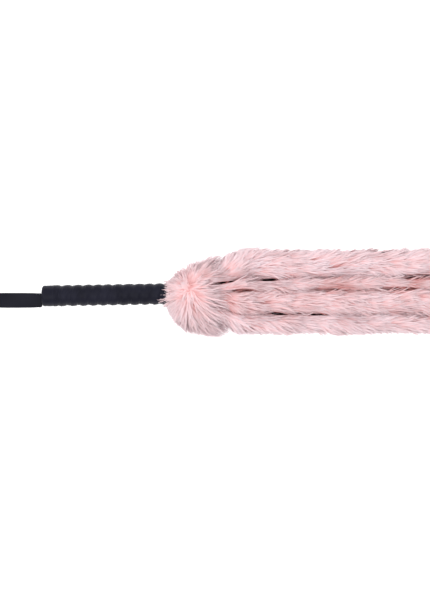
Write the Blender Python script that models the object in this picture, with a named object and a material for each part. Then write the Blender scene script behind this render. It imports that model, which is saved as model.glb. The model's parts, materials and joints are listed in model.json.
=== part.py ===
"""A short hand whip: leather-wrapped grip, flat wrist strap at the butt, eight fur tails at the head.

Metres, +Z up. +X runs from the butt to the tails, the whip lies on the plane z = 0, and the
origin is under the middle of its box. Sizes along the grip, called "along" below, count from the
butt's outer face; the grip group is built on its own local X axis and tilted as one by an empty.
"""

import math

import bmesh
import bpy
from mathutils import Matrix, Vector

# Driving sizes
WRIST_LOOP_LENGTH = 0.158      # strap hinge to the loop's far end
GRIP_LENGTH = 0.1500           # butt face to the end of the wound strip
TAIL_LENGTH = 0.3600           # tail hinge to tip
CLEARANCE = 0.0003             # between pieces that touch

# Grip, from the middle outwards
CORE_RADIUS = 0.0085
PADDING_WALL = 0.0012
STRIP_THICKNESS = 0.0017       # at its crest
STRIP_PITCH = 0.0118
STRIP_GAP = 0.0004             # between neighbouring turns
STRIP_EDGE_DROP = 0.0009       # crest to edge of the strip
CAP_SIDE_WALL = 0.0015
CAP_END_WALL = 0.0020
CAP_LENGTH = 0.0152
CAP_EDGE_ROUND = 0.0024
CORE_END = 0.0260              # core beyond the end of the strip

# Strap
STRAP_THICKNESS = 0.0015
STRAP_WIDTH = 0.0166
STRAP_ROOT_WIDTH = 0.0132      # squeezed where it enters the cap
STRAP_SHIFT = -0.0014          # free strap, across, from where it enters the cap
STRAP_SEAM_GAP = 0.0002        # between the two sewn runs
STRAP_DROP_LENGTH = 0.045      # over which the strap comes down to the surface
STRAP_FLOOR_GAP = 0.0002
LOOP_HEIGHT = 0.0245
LOOP_OPENS_AT = 0.012
LOOP_RISE_LENGTH = 0.110
ANCHOR_LENGTH = 0.0160
ANCHOR_PROUD = 0.0005
PIN_RADIUS = 0.00125
PIN_ALONG = 0.0095
PIN_SUNK = 0.0005              # pin's ends below the core's surface

# Head: tabs of the tails, whipping, fur collar
TAB_COUNT = 8
TAB_WALL = 0.0014
TAB_SPAN = math.radians(37)
TAB_LENGTH = 0.0235
THREAD_WALL = 0.0015
THREAD_ROWS = 9
THREAD_GROOVE = 0.0004
BINDING_END_GAP = 0.0015
BAND_WALL = 0.0010
BAND_OVER_STRIP = 0.0040       # how far the collar covers the strip's end
COLLAR_LENGTH = 0.0340
COLLAR_SIDE_PILE = 0.0174      # pile beyond the band, to the sides
COLLAR_TOP_PILE = 0.0126
COLLAR_UNDER = 0.0022          # pile pressed flat under the band
COLLAR_SAG_PILE = 0.0074       # pile below the band, were it not pressed
TACK_HEAD_RADIUS = 0.0019
TACK_HEAD_HEIGHT = 0.0006
TACK_SHANK_RADIUS = 0.0006
TACK_LENGTH = 0.0070
TACK_SUNK = 0.0002             # head below the strip's crest
TACK_FROM_STRIP_END = 0.0062

# Lie of the grip
GRIP_YAW = math.radians(1.0)
HEAD_Y = -0.0031               # grip axis at the collar, across the box

# Tails
BACKING_WALL = 0.0012
LAYER_GAP = 0.0005
BOTTOM_PILE_HEIGHT = 0.0124
TOP_PILE_HEIGHT = 0.0240
TOP_ROOT_HEIGHT = 0.0120       # backing and pile together, where a top tail hinges
TAIL_ROOT_PITCH = 0.0100
TAIL_ROOT_GAP = 0.0008
SPREAD_LENGTH = 0.0450         # over which the tails part from each other
TOP_RISE_FROM = 0.0160         # a top tail's pile thickens from here, clear of the collar when lifted
TIP_LENGTH = 0.0160
BACKING_SHARE = 0.86           # backing width to pile width
COLLAR_TO_TAIL = 0.0006
TAIL_GAP = 0.0006              # between neighbouring tails once they have parted
# (width where the tails have parted, width at the tips, how much shorter than the longest), from -Y
# to +Y. The strips turn a little on edge along the way, which makes the upper ones change in width.
TOP_TAILS = ((0.0200, 0.0160, 0.0060), (0.0262, 0.0330, 0.0000),
             (0.0105, 0.0140, 0.0090), (0.0345, 0.0285, 0.0030))
BOTTOM_TAILS = ((0.0222, 0.0222, 0.0040), (0.0224, 0.0224, 0.0110),
                (0.0224, 0.0224, 0.0020), (0.0222, 0.0222, 0.0080))

# Sizes that follow
PADDING_RADIUS = CORE_RADIUS + CLEARANCE + PADDING_WALL
STRIP_INNER_RADIUS = PADDING_RADIUS + CLEARANCE
GRIP_RADIUS = STRIP_INNER_RADIUS + STRIP_THICKNESS
CAP_INNER_RADIUS = PADDING_RADIUS + CLEARANCE
CAP_RADIUS = CAP_INNER_RADIUS + CAP_SIDE_WALL
STRIP_START = CAP_LENGTH + CLEARANCE
STRIP_WIDTH = STRIP_PITCH - STRIP_GAP
CORE_START = CAP_END_WALL + CLEARANCE
CORE_STOP = GRIP_LENGTH + CORE_END
TONGUE_THICKNESS = 2 * STRAP_THICKNESS + STRAP_SEAM_GAP
# The strap's ends lie as far to the -Y side as the cap's hollow lets them
STRAP_ROOT_EDGE = math.sqrt(CAP_INNER_RADIUS ** 2 - (TONGUE_THICKNESS / 2) ** 2) - CLEARANCE
STRAP_ROOT_OFFSET = STRAP_ROOT_WIDTH / 2 - STRAP_ROOT_EDGE
PIN_CHORD = abs(STRAP_ROOT_OFFSET) + PIN_RADIUS
PIN_HALF_LENGTH = math.sqrt(CORE_RADIUS ** 2 - PIN_CHORD ** 2) - PIN_SUNK
HINGE_ALONG = -(ANCHOR_PROUD + CLEARANCE + TONGUE_THICKNESS / 2)
TAB_INNER_RADIUS = CORE_RADIUS + CLEARANCE
TAB_RADIUS = TAB_INNER_RADIUS + TAB_WALL
TAB_START = GRIP_LENGTH + CLEARANCE
THREAD_RADIUS = TAB_RADIUS + CLEARANCE + THREAD_WALL
BAND_INNER_RADIUS = max(GRIP_RADIUS, THREAD_RADIUS) + CLEARANCE
BAND_RADIUS = BAND_INNER_RADIUS + BAND_WALL
BORE_RADIUS = BAND_RADIUS + CLEARANCE
COLLAR_START = GRIP_LENGTH - BAND_OVER_STRIP
HEAD_Z = COLLAR_UNDER + BORE_RADIUS
BUTT_Z = CAP_RADIUS + STRAP_FLOOR_GAP
HEAD_ALONG = COLLAR_START + COLLAR_LENGTH / 2
GRIP_PITCH = math.asin((HEAD_Z - BUTT_Z) / HEAD_ALONG)
TAIL_HINGE_ALONG = COLLAR_START + COLLAR_LENGTH + COLLAR_TO_TAIL + TOP_ROOT_HEIGHT / 2
BUTT_X = (WRIST_LOOP_LENGTH - HINGE_ALONG - TAIL_HINGE_ALONG - TAIL_LENGTH) / 2
BUTT_Y = HEAD_Y - HEAD_ALONG * math.sin(GRIP_YAW)
COLLAR_X = BUTT_X + COLLAR_START
COLLAR_FACE_X = COLLAR_X + COLLAR_LENGTH
COLLAR_HALF_WIDTH = BORE_RADIUS + COLLAR_SIDE_PILE
COLLAR_RISE = BORE_RADIUS + COLLAR_TOP_PILE
COLLAR_SAG = BORE_RADIUS + COLLAR_SAG_PILE
TAIL_ROOT_WIDTH = TAIL_ROOT_PITCH - TAIL_ROOT_GAP
BOTTOM_BACKING_Z = BOTTOM_PILE_HEIGHT + CLEARANCE
TOP_LAYER_Z = BOTTOM_BACKING_Z + BACKING_WALL + LAYER_GAP

ROUND = 32                     # sides of a round piece
STRIP_STEPS = 20               # steps in one turn of the strip


def clear_scene():
    for item in list(bpy.data.objects):
        bpy.data.objects.remove(item, do_unlink=True)


def make_material(name, color, roughness, metallic=0.0):
    material = bpy.data.materials.new(name)
    material.use_nodes = True
    shader = material.node_tree.nodes["Principled BSDF"]
    shader.inputs["Base Color"].default_value = (*color, 1.0)
    shader.inputs["Roughness"].default_value = roughness
    shader.inputs["Metallic"].default_value = metallic
    return material


def smoothstep(t):
    t = min(max(t, 0.0), 1.0)
    return t * t * (3.0 - 2.0 * t)


def add_piece(name, mesh, material, parent=None, location=(0, 0, 0)):
    piece = bpy.data.objects.new(name, mesh)
    bpy.context.scene.collection.objects.link(piece)
    piece.parent = parent
    piece.location = location
    if material:
        mesh.materials.append(material)
    mesh.shade_smooth()
    mesh.set_sharp_from_angle(angle=math.radians(40))
    return piece


def mesh_from_rings(name, rings, closed=False):
    """Rings of equal length joined in order; open ends get a flat face, a closed run joins up."""
    shape = bmesh.new()
    rows = [[shape.verts.new(point) for point in ring] for ring in rings]
    pairs = list(zip(rows, rows[1:]))
    if closed:
        pairs.append((rows[-1], rows[0]))
    count = len(rows[0])
    for near, far in pairs:
        for i in range(count):
            j = (i + 1) % count
            shape.faces.new((near[i], near[j], far[j], far[i]))
    if not closed:
        shape.faces.new(rows[0])
        shape.faces.new(rows[-1])
    bmesh.ops.recalc_face_normals(shape, faces=shape.faces)
    mesh = bpy.data.meshes.new(name)
    shape.to_mesh(mesh)
    shape.free()
    return mesh


def turned_mesh(name, profile, sides=ROUND):
    """A closed (along, radius) profile turned about the local X axis."""
    rings = []
    for i in range(sides):
        angle = math.tau * i / sides
        rings.append([(a, r * math.cos(angle), r * math.sin(angle)) for a, r in profile])
    return mesh_from_rings(name, rings, closed=True)


def rod_mesh(name, start, stop, radius, sides=ROUND):
    rings = []
    for along in (start, stop):
        turn = [math.tau * i / sides for i in range(sides)]
        rings.append([(along, radius * math.cos(a), radius * math.sin(a)) for a in turn])
    return mesh_from_rings(name, rings)


def tube_profile(start, stop, inner, outer):
    return [(start, inner), (stop, inner), (stop, outer), (start, outer)]


def box_mesh(name, low, high):
    rings = []
    for x in (low[0], high[0]):
        corners = ((low[1], low[2]), (high[1], low[2]), (high[1], high[2]), (low[1], high[2]))
        rings.append([(x, y, z) for y, z in corners])
    return mesh_from_rings(name, rings)


def make_cutter(name, mesh, parent=None, location=(0, 0, 0)):
    cutter = add_piece(name, mesh, None, parent, location)
    cutter.hide_render = True
    cutter.display_type = "WIRE"
    return cutter


def cut(piece, cutter):
    difference = piece.modifiers.new(cutter.name, "BOOLEAN")
    difference.operation = "DIFFERENCE"
    difference.solver = "EXACT"
    difference.object = cutter


def place_grip_frame():
    frame = bpy.data.objects.new("grip_frame", None)
    bpy.context.scene.collection.objects.link(frame)
    frame.location = (BUTT_X, BUTT_Y, BUTT_Z)
    frame.rotation_euler = (0.0, -GRIP_PITCH, GRIP_YAW)
    return frame


def cap_profile():
    """Cup from the rounded edge of its end wall, along the outside, and back to the inner corner."""
    steps = 4
    corner = []
    for i in range(steps + 1):
        angle = math.pi / 2 * i / steps
        along = CAP_EDGE_ROUND * (1 - math.cos(angle))
        radius = CAP_RADIUS - CAP_EDGE_ROUND * (1 - math.sin(angle))
        corner.append((along, radius))
    rim = [(CAP_LENGTH, CAP_RADIUS), (CAP_LENGTH, CAP_INNER_RADIUS), (CAP_END_WALL, CAP_INNER_RADIUS)]
    return corner + rim


def make_cap_mesh():
    """The outer skin and the hollow as rings from the middle of the end wall, out, back and in."""
    profile = cap_profile()
    shape = bmesh.new()
    rows = []
    for along, radius in profile:
        turn = [math.tau * i / ROUND for i in range(ROUND)]
        rows.append([shape.verts.new((along, radius * math.cos(a), radius * math.sin(a))) for a in turn])
    for near, far in zip(rows, rows[1:]):
        for i in range(ROUND):
            j = (i + 1) % ROUND
            shape.faces.new((near[i], near[j], far[j], far[i]))
    shape.faces.new(rows[0])
    shape.faces.new(rows[-1])
    bmesh.ops.recalc_face_normals(shape, faces=shape.faces)
    mesh = bpy.data.meshes.new("butt_cap")
    shape.to_mesh(mesh)
    shape.free()
    return mesh


def make_strip_mesh():
    """A crowned strip wound left-handed, trimmed square to the grip at both ends."""
    run = GRIP_LENGTH - STRIP_START
    first_turn = 0.2
    last_turn = run / STRIP_PITCH + STRIP_WIDTH / STRIP_PITCH - first_turn
    steps = round((last_turn - first_turn) * STRIP_STEPS)
    edge_radius = GRIP_RADIUS - STRIP_EDGE_DROP
    shoulder_radius = GRIP_RADIUS - STRIP_EDGE_DROP * 0.25
    section = (
        (0.0, STRIP_INNER_RADIUS),
        (1.0, STRIP_INNER_RADIUS),
        (1.0, edge_radius),
        (0.78, shoulder_radius),
        (0.5, GRIP_RADIUS),
        (0.22, shoulder_radius),
        (0.0, edge_radius),
    )
    rings = []
    for i in range(steps + 1):
        turn = first_turn + (last_turn - first_turn) * i / steps
        right = STRIP_START + STRIP_PITCH * turn
        left = max(right - STRIP_WIDTH, STRIP_START)
        right = min(right, GRIP_LENGTH)
        angle = math.pi - math.tau * turn
        ring = []
        for share, radius in section:
            along = left + (right - left) * share
            ring.append((along, radius * math.cos(angle), radius * math.sin(angle)))
        rings.append(ring)
    return mesh_from_rings("grip_wrap", rings)


def make_grip(frame, finishes):
    core = add_piece("handle_core", rod_mesh("handle_core", CORE_START, CORE_STOP, CORE_RADIUS),
                     finishes["wood"], frame)
    sleeve = tube_profile(CORE_START, GRIP_LENGTH, CORE_RADIUS + CLEARANCE, PADDING_RADIUS)
    padding = add_piece("core_padding", turned_mesh("core_padding", sleeve), finishes["foam"], frame)
    wrap = add_piece("grip_wrap", make_strip_mesh(), finishes["leather"], frame)
    cap = add_piece("butt_cap", make_cap_mesh(), finishes["leather"], frame)

    left = STRAP_ROOT_OFFSET - STRAP_ROOT_WIDTH / 2
    right = STRAP_ROOT_OFFSET + STRAP_ROOT_WIDTH / 2
    half_height = TONGUE_THICKNESS / 2
    slot_low = (-CAP_END_WALL, left - CLEARANCE, -half_height - CLEARANCE)
    slot_high = (ANCHOR_LENGTH + CLEARANCE, right + CLEARANCE, half_height + CLEARANCE)
    slot = make_cutter("strap_slot", box_mesh("strap_slot", slot_low, slot_high), frame)
    for piece in (cap, core, padding):
        cut(piece, slot)

    ends = box_mesh("strap_anchor", (-ANCHOR_PROUD, left, -half_height), (ANCHOR_LENGTH, right, half_height))
    anchor = add_piece("strap_anchor", ends, finishes["strap"], frame)
    add_piece("strap_pin", upright_rod("strap_pin", PIN_ALONG, STRAP_ROOT_OFFSET, -PIN_HALF_LENGTH,
                                       PIN_HALF_LENGTH, PIN_RADIUS), finishes["steel"], frame)
    hole_reach = PIN_HALF_LENGTH + CLEARANCE
    pin_hole = make_cutter("pin_hole", upright_rod("pin_hole", PIN_ALONG, STRAP_ROOT_OFFSET, -hole_reach,
                                                   hole_reach, PIN_RADIUS + CLEARANCE), frame)
    for piece in (core, anchor):
        cut(piece, pin_hole)
    make_tack(frame, finishes, (wrap, padding, core))


def upright_rod(name, along, across, low, high, radius, sides=16):
    rings = []
    for z in (low, high):
        turn = [math.tau * i / sides for i in range(sides)]
        rings.append([(along + radius * math.cos(a), across + radius * math.sin(a), z) for a in turn])
    return mesh_from_rings(name, rings)


def tack_mesh(name, grow):
    """Flat head flush below the strip's crest, and its shank, pointing down; grow is the room around it."""
    along = GRIP_LENGTH - TACK_FROM_STRIP_END
    crown = GRIP_RADIUS - TACK_SUNK
    top = crown + (TACK_SUNK + STRIP_EDGE_DROP if grow else 0.0)
    under_head = crown - TACK_HEAD_HEIGHT - grow
    tip = crown - TACK_HEAD_HEIGHT - TACK_LENGTH - grow
    head = TACK_HEAD_RADIUS + grow
    shank = TACK_SHANK_RADIUS + grow
    sides = 16
    rings = []
    for z, radius in ((top, head), (under_head, head), (under_head, shank), (tip, shank)):
        turn = [math.tau * i / sides for i in range(sides)]
        rings.append([(along + radius * math.cos(a), radius * math.sin(a), z) for a in turn])
    return mesh_from_rings(name, rings)


def make_tack(frame, finishes, pieces):
    add_piece("wrap_tack", tack_mesh("wrap_tack", 0.0), finishes["steel"], frame)
    hole = make_cutter("tack_hole", tack_mesh("tack_hole", CLEARANCE), frame)
    for piece in pieces:
        cut(piece, hole)


def sector_mesh(name, start, stop, inner, outer, middle, span):
    steps = 6
    rings = []
    for along in (start, stop):
        turn = [middle + span * (i / steps - 0.5) for i in range(steps + 1)]
        under = [(along, inner * math.cos(a), inner * math.sin(a)) for a in turn]
        over = [(along, outer * math.cos(a), outer * math.sin(a)) for a in reversed(turn)]
        rings.append(under + over)
    return mesh_from_rings(name, rings)


def binding_profile():
    """Rows of thread seen as ridges along the outside of a ring."""
    start = TAB_START + CLEARANCE
    stop = TAB_START + TAB_LENGTH - BINDING_END_GAP
    inner = TAB_RADIUS + CLEARANCE
    row = (stop - start) / THREAD_ROWS
    points = [(start, inner), (stop, inner)]
    for i in range(THREAD_ROWS, -1, -1):
        along = start + row * i
        points.append((along, THREAD_RADIUS - THREAD_GROOVE))
        if i:
            points.append((along - row / 2, THREAD_RADIUS))
    return points


def collar_mesh():
    """Pile of the collar: rounded rings about the grip's axis, pressed flat on the surface."""
    sides = 24
    shares = ((0.0, 0.80), (0.12, 0.92), (0.32, 1.0), (0.68, 1.0), (0.88, 0.92), (1.0, 0.80))
    rings = []
    for share, scale in shares:
        ring = []
        for i in range(sides):
            angle = math.tau * (i + 0.5) / sides
            y = COLLAR_HALF_WIDTH * scale * math.cos(angle)
            reach = COLLAR_RISE if math.sin(angle) > 0 else COLLAR_SAG
            z = max(HEAD_Z + reach * scale * math.sin(angle), 0.0)
            ring.append((COLLAR_X + COLLAR_LENGTH * share, HEAD_Y + y, z))
        rings.append(ring)
    return mesh_from_rings("collar_pile", rings)


def make_head(frame, finishes):
    for i in range(TAB_COUNT):
        name = f"tail_tab_{i + 1}"
        middle = math.tau * (i + 0.5) / TAB_COUNT
        mesh = sector_mesh(name, TAB_START, TAB_START + TAB_LENGTH, TAB_INNER_RADIUS, TAB_RADIUS,
                           middle, TAB_SPAN)
        add_piece(name, mesh, finishes["backing"], frame)
    add_piece("binding_thread", turned_mesh("binding_thread", binding_profile()), finishes["thread"], frame)
    band_stop = COLLAR_START + COLLAR_LENGTH - COLLAR_TO_TAIL
    add_piece("collar_band",
              turned_mesh("collar_band", tube_profile(COLLAR_START + COLLAR_TO_TAIL, band_stop,
                                                      BAND_INNER_RADIUS, BAND_RADIUS)),
              finishes["backing"], frame)
    collar = add_piece("collar_pile", collar_mesh(), finishes["fur"])
    bore = make_cutter("collar_bore", rod_mesh("collar_bore", COLLAR_START - 0.01,
                                               COLLAR_START + COLLAR_LENGTH + 0.01, BORE_RADIUS, 40), frame)
    cut(collar, bore)


def strap_low(run):
    """Height of the strap's underside above the hinge at this run from it."""
    floor = STRAP_FLOOR_GAP - BUTT_Z
    return floor + (-TONGUE_THICKNESS / 2 - floor) * (1 - smoothstep(run / STRAP_DROP_LENGTH))


def strap_bulge(run):
    bulge = LOOP_HEIGHT - STRAP_FLOOR_GAP - TONGUE_THICKNESS
    return bulge * smoothstep((run - LOOP_OPENS_AT) / LOOP_RISE_LENGTH)


def loop_outline(inset, first_run):
    """Side outline of the loop, inset by the strap's thickness for its hollow: (run, height)."""
    end_radius = (LOOP_HEIGHT - STRAP_FLOOR_GAP) / 2
    end_run = WRIST_LOOP_LENGTH - end_radius
    end_height = strap_low(end_run) + end_radius
    steps = 14
    runs = [first_run + (end_run - first_run) * i / steps for i in range(steps)]
    under = [(run, strap_low(run) + inset) for run in runs]
    over = [(run, strap_low(run) + TONGUE_THICKNESS + strap_bulge(run) - inset) for run in reversed(runs)]
    arc = []
    arc_steps = 10
    for i in range(arc_steps + 1):
        angle = -math.pi / 2 + math.pi * i / arc_steps
        radius = end_radius - inset
        arc.append((end_run + radius * math.cos(angle), end_height + radius * math.sin(angle)))
    return under + arc + over


def make_strap(finishes):
    hinge = strap_hinge()
    outline = loop_outline(0.0, 0.0)
    root_round = []
    for i in range(1, 6):
        angle = math.pi / 2 + math.pi * i / 6
        radius = TONGUE_THICKNESS / 2
        root_round.append((radius * math.cos(angle), radius * math.sin(angle)))
    outline += root_round
    sides = []
    for side in (-1, 1):
        ring = []
        for run, height in outline:
            share = smoothstep(run / LOOP_OPENS_AT)
            width = STRAP_ROOT_WIDTH + (STRAP_WIDTH - STRAP_ROOT_WIDTH) * share
            middle = STRAP_SHIFT * share
            ring.append((-run, middle + side * width / 2, height))
        sides.append(ring)
    strap = add_piece("wrist_strap", mesh_from_rings("wrist_strap", sides), finishes["strap"], None, hinge)
    hollow_start = LOOP_OPENS_AT + LOOP_RISE_LENGTH * 0.12
    hollow = []
    for side in (-STRAP_WIDTH, STRAP_WIDTH):
        hollow.append([(-run, side, height) for run, height in loop_outline(STRAP_THICKNESS, hollow_start)])
    cut(strap, make_cutter("loop_hollow", mesh_from_rings("loop_hollow", hollow), None, hinge))


def strap_hinge():
    turn = Matrix.Rotation(GRIP_YAW, 4, "Z") @ Matrix.Rotation(-GRIP_PITCH, 4, "Y")
    return Vector((BUTT_X, BUTT_Y, BUTT_Z)) + turn @ Vector((HINGE_ALONG, STRAP_ROOT_OFFSET, 0.0))


def tail_runs(length, first):
    """Places along a tail: its root, the stretch where the tails part, the long run and the tip."""
    spread = [SPREAD_LENGTH * share for share in (0.14, 0.3, 0.46, 0.62, 0.8, 1.0)]
    straight = length - TIP_LENGTH
    middle = [SPREAD_LENGTH + (straight - SPREAD_LENGTH) * share for share in (0.33, 0.66, 1.0)]
    tip = [straight + TIP_LENGTH * share for share in (0.45, 0.8, 1.0)]
    return first + [0.0] + spread + middle + tip


def tip_share(run, length):
    past = max(run - (length - TIP_LENGTH), 0.0) / TIP_LENGTH
    return math.sqrt(max(1.0 - 0.8 * past * past, 0.0))


def tail_rest(run, tail):
    """Resting centre and width at this run: from the first pair to the last, evenly."""
    share = max(run - SPREAD_LENGTH, 0.0) / (TAIL_LENGTH - SPREAD_LENGTH)
    return [first + (last - first) * share for first, last in zip(tail["parted"], tail["tips"])]


def tail_middle(run, tail):
    rest_y = tail_rest(run, tail)[0]
    return (rest_y - tail["root_y"]) * smoothstep(run / SPREAD_LENGTH)


def tail_half_width(run, tail):
    width = tail_rest(run, tail)[1]
    spread = smoothstep(run / SPREAD_LENGTH)
    return (TAIL_ROOT_WIDTH + (width - TAIL_ROOT_WIDTH) * spread) / 2 * tip_share(run, tail["length"])


def root_half_width(run):
    half = TAIL_ROOT_WIDTH / 2
    return math.sqrt(max(half * half - run * run, 0.0))


def side_by_side(widths):
    """(centre, width) of strips laid next to each other about the middle of the box."""
    edge = -(sum(widths) + TAIL_GAP * (len(widths) - 1)) / 2
    places = []
    for width in widths:
        places.append((edge + width / 2, width))
        edge += width + TAIL_GAP
    return places


def tail_places(tails):
    parted = side_by_side([tail[0] for tail in tails])
    tips = side_by_side([tail[1] for tail in tails])
    places = []
    for i, tail in enumerate(tails):
        root_y = HEAD_Y + TAIL_ROOT_PITCH * (i - (len(tails) - 1) / 2)
        places.append({"length": TAIL_LENGTH - tail[2], "root_y": root_y,
                       "parted": parted[i], "tips": tips[i]})
    return places


def top_pile_mesh(name, tail):
    """Arched pile on its backing; its root end is a half round about the hinge, seen from the side."""
    radius = TOP_ROOT_HEIGHT / 2
    floor = -radius + BACKING_WALL + CLEARANCE
    full = TOP_PILE_HEIGHT - radius + BACKING_WALL + CLEARANCE
    steps = 8
    rings = []
    for run in tail_runs(tail["length"], [-radius * 0.93, -radius * 0.7, -radius * 0.35]):
        if run < 0:
            half = TAIL_ROOT_WIDTH / 2
            high = math.sqrt(radius * radius - run * run)
            low = max(floor, -high)
        else:
            half = tail_half_width(run, tail)
            low = floor
            rise = smoothstep((run - TOP_RISE_FROM) / (SPREAD_LENGTH - TOP_RISE_FROM))
            high = radius + (full - radius) * rise
            high = low + (high - low) * tip_share(run, tail["length"])
        ring = []
        for i in range(steps + 1):
            angle = math.pi * i / steps
            y = half * math.copysign(abs(math.cos(angle)) ** 0.7, math.cos(angle))
            z = low + (high - low) * math.sin(angle) ** 0.6 if 0 < i < steps else low
            ring.append((run, tail_middle(run, tail) + y, z))
        rings.append(ring)
    return mesh_from_rings(name, rings)


def bottom_pile_mesh(name, tail):
    """Pile pressed flat on the surface; its root end is a half round about the hinge, seen from above."""
    section = ((-0.84, 0.0), (0.84, 0.0), (1.0, 0.35), (1.0, 0.8), (0.92, 1.0),
               (-0.92, 1.0), (-1.0, 0.8), (-1.0, 0.35))
    half_root = TAIL_ROOT_WIDTH / 2
    rings = []
    for run in tail_runs(tail["length"], [-half_root * 0.93, -half_root * 0.7, -half_root * 0.35]):
        half = root_half_width(run) if run < 0 else tail_half_width(run, tail)
        middle = tail_middle(run, tail)
        height = BOTTOM_PILE_HEIGHT * (tip_share(run, tail["length"]) if run > 0 else 1.0)
        rings.append([(run, middle + half * y, height * z) for y, z in section])
    return mesh_from_rings(name, rings)


def backing_mesh(name, tail, low, first):
    rings = []
    for run in tail_runs(tail["length"] - TIP_LENGTH * 0.2, first):
        half = root_half_width(run) if run < 0 else tail_half_width(run, tail)
        half *= BACKING_SHARE
        middle = tail_middle(run, tail)
        corners = ((-half, low), (half, low), (half, low + BACKING_WALL), (-half, low + BACKING_WALL))
        rings.append([(run, middle + y, z) for y, z in corners])
    return mesh_from_rings(name, rings)


def make_top_tails(finishes):
    radius = TOP_ROOT_HEIGHT / 2
    hinge_x = COLLAR_FACE_X + COLLAR_TO_TAIL + radius
    for i, tail in enumerate(tail_places(TOP_TAILS)):
        hinge = (hinge_x, tail["root_y"], TOP_LAYER_Z + radius)
        name = f"top_tail_{i + 1}_pile"
        add_piece(name, top_pile_mesh(name, tail), finishes["fur"], None, hinge)
        name = f"top_tail_{i + 1}_backing"
        add_piece(name, backing_mesh(name, tail, -radius, []), finishes["backing"], None, hinge)


def make_bottom_tails(finishes):
    half_root = TAIL_ROOT_WIDTH / 2
    hinge_x = COLLAR_FACE_X + COLLAR_TO_TAIL + half_root
    root_round = [-half_root * 0.9, -half_root * 0.6]
    for i, tail in enumerate(tail_places(BOTTOM_TAILS)):
        hinge = (hinge_x, tail["root_y"], 0.0)
        name = f"bottom_tail_{i + 1}_pile"
        add_piece(name, bottom_pile_mesh(name, tail), finishes["fur"], None, hinge)
        name = f"bottom_tail_{i + 1}_backing"
        strip = backing_mesh(name, tail, BOTTOM_BACKING_Z, root_round)
        add_piece(name, strip, finishes["backing"], None, hinge)


def main():
    clear_scene()
    finishes = {
        "leather": make_material("black_leather", (0.030, 0.030, 0.042), 0.50),
        "strap": make_material("strap_leather", (0.026, 0.026, 0.034), 0.60),
        "fur": make_material("pink_fur", (0.74, 0.49, 0.52), 0.95),
        "backing": make_material("black_backing", (0.012, 0.012, 0.015), 0.90),
        "thread": make_material("binding_thread", (0.05, 0.05, 0.06), 0.80),
        "wood": make_material("handle_wood", (0.50, 0.34, 0.19), 0.70),
        "foam": make_material("grip_foam", (0.08, 0.08, 0.08), 0.90),
        "steel": make_material("pin_steel", (0.55, 0.55, 0.56), 0.35, 1.0),
    }
    frame = place_grip_frame()
    make_grip(frame, finishes)
    make_head(frame, finishes)
    make_strap(finishes)
    make_top_tails(finishes)
    make_bottom_tails(finishes)


main()
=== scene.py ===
import bpy
import json
import math
import numpy as np
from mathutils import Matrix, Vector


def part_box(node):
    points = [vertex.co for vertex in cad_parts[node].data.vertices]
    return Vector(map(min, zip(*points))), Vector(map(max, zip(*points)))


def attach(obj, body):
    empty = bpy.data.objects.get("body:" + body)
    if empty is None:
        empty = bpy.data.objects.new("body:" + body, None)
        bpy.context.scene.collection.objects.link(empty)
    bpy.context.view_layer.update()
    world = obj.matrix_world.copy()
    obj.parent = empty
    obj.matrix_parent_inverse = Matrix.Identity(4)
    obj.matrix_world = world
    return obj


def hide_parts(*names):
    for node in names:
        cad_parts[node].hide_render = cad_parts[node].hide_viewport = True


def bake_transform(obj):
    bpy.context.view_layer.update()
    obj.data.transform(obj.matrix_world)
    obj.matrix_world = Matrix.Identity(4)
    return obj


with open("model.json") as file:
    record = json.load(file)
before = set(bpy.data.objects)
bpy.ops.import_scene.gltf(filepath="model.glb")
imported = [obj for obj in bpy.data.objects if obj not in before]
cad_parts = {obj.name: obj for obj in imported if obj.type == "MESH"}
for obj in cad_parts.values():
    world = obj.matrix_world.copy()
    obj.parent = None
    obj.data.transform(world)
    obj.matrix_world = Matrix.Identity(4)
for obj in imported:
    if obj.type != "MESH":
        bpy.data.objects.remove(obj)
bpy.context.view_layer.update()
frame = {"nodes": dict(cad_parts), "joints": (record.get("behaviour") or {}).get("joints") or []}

# camera, lights and floor: the whip lies flat and is seen from straight above
view = {
    "aimX": 0.0059, "aimY": -0.0117, "aimZ": 0.018,   # what the camera looks at
    "tall": 0.6923,           # length of surface that the frame's long side takes in
    "lens": 100.0, "sensor": 36.0, "clipEnd": 20.0,
}
studio = {
    "floorSize": 6.0, "floorColor": (0.93, 0.93, 0.93), "floorGlow": 0.32,
    "floorRoughness": 0.9, "floorSpecular": 0.1,
    "skyColor": (1.0, 1.0, 1.0), "skyPower": 1.08,
    "keyPower": 13.0, "keySize": 1.3, "fillPower": 10.0, "fillSize": 1.4,
}


def smooth(t):  # 3t^2 - 2t^3 between 0 and 1
    t = np.clip(t, 0.0, 1.0)
    return t * t * (3.0 - 2.0 * t)


def unit(v):  # each vector over its length
    return v / np.maximum(np.linalg.norm(v, axis=-1, keepdims=True), 1e-12)


def flattened(wave, power):  # sign(w) |w|^power: below 1 it squares a circle's sides
    return np.sign(wave) * np.abs(wave) ** power


def circle(columns):  # even angles once round
    return np.arange(columns) / columns * math.tau


rippleShape = {"slow": 0.7, "fast": 1.6, "damping": 1.6}


def ripple(x, y, size, seed, waves=7):
    # sum of sine waves in seeded directions, each about one size long; mostly between -1 and 1
    rng = np.random.default_rng(seed)
    total = np.zeros(np.broadcast(x, y).shape)
    for _ in range(waves):
        turn = rng.uniform(0, math.tau)
        scale = rng.uniform(rippleShape["slow"], rippleShape["fast"]) / size
        shift = rng.uniform(0, math.tau)
        total = total + np.sin(math.tau * scale * (x * math.cos(turn) + y * math.sin(turn)) + shift)
    return total / math.sqrt(waves * rippleShape["damping"])


def jointPlace(name):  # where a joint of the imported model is, at rest
    return np.array(next(joint for joint in frame["joints"] if joint["name"] == name)["pos_m"])


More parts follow.
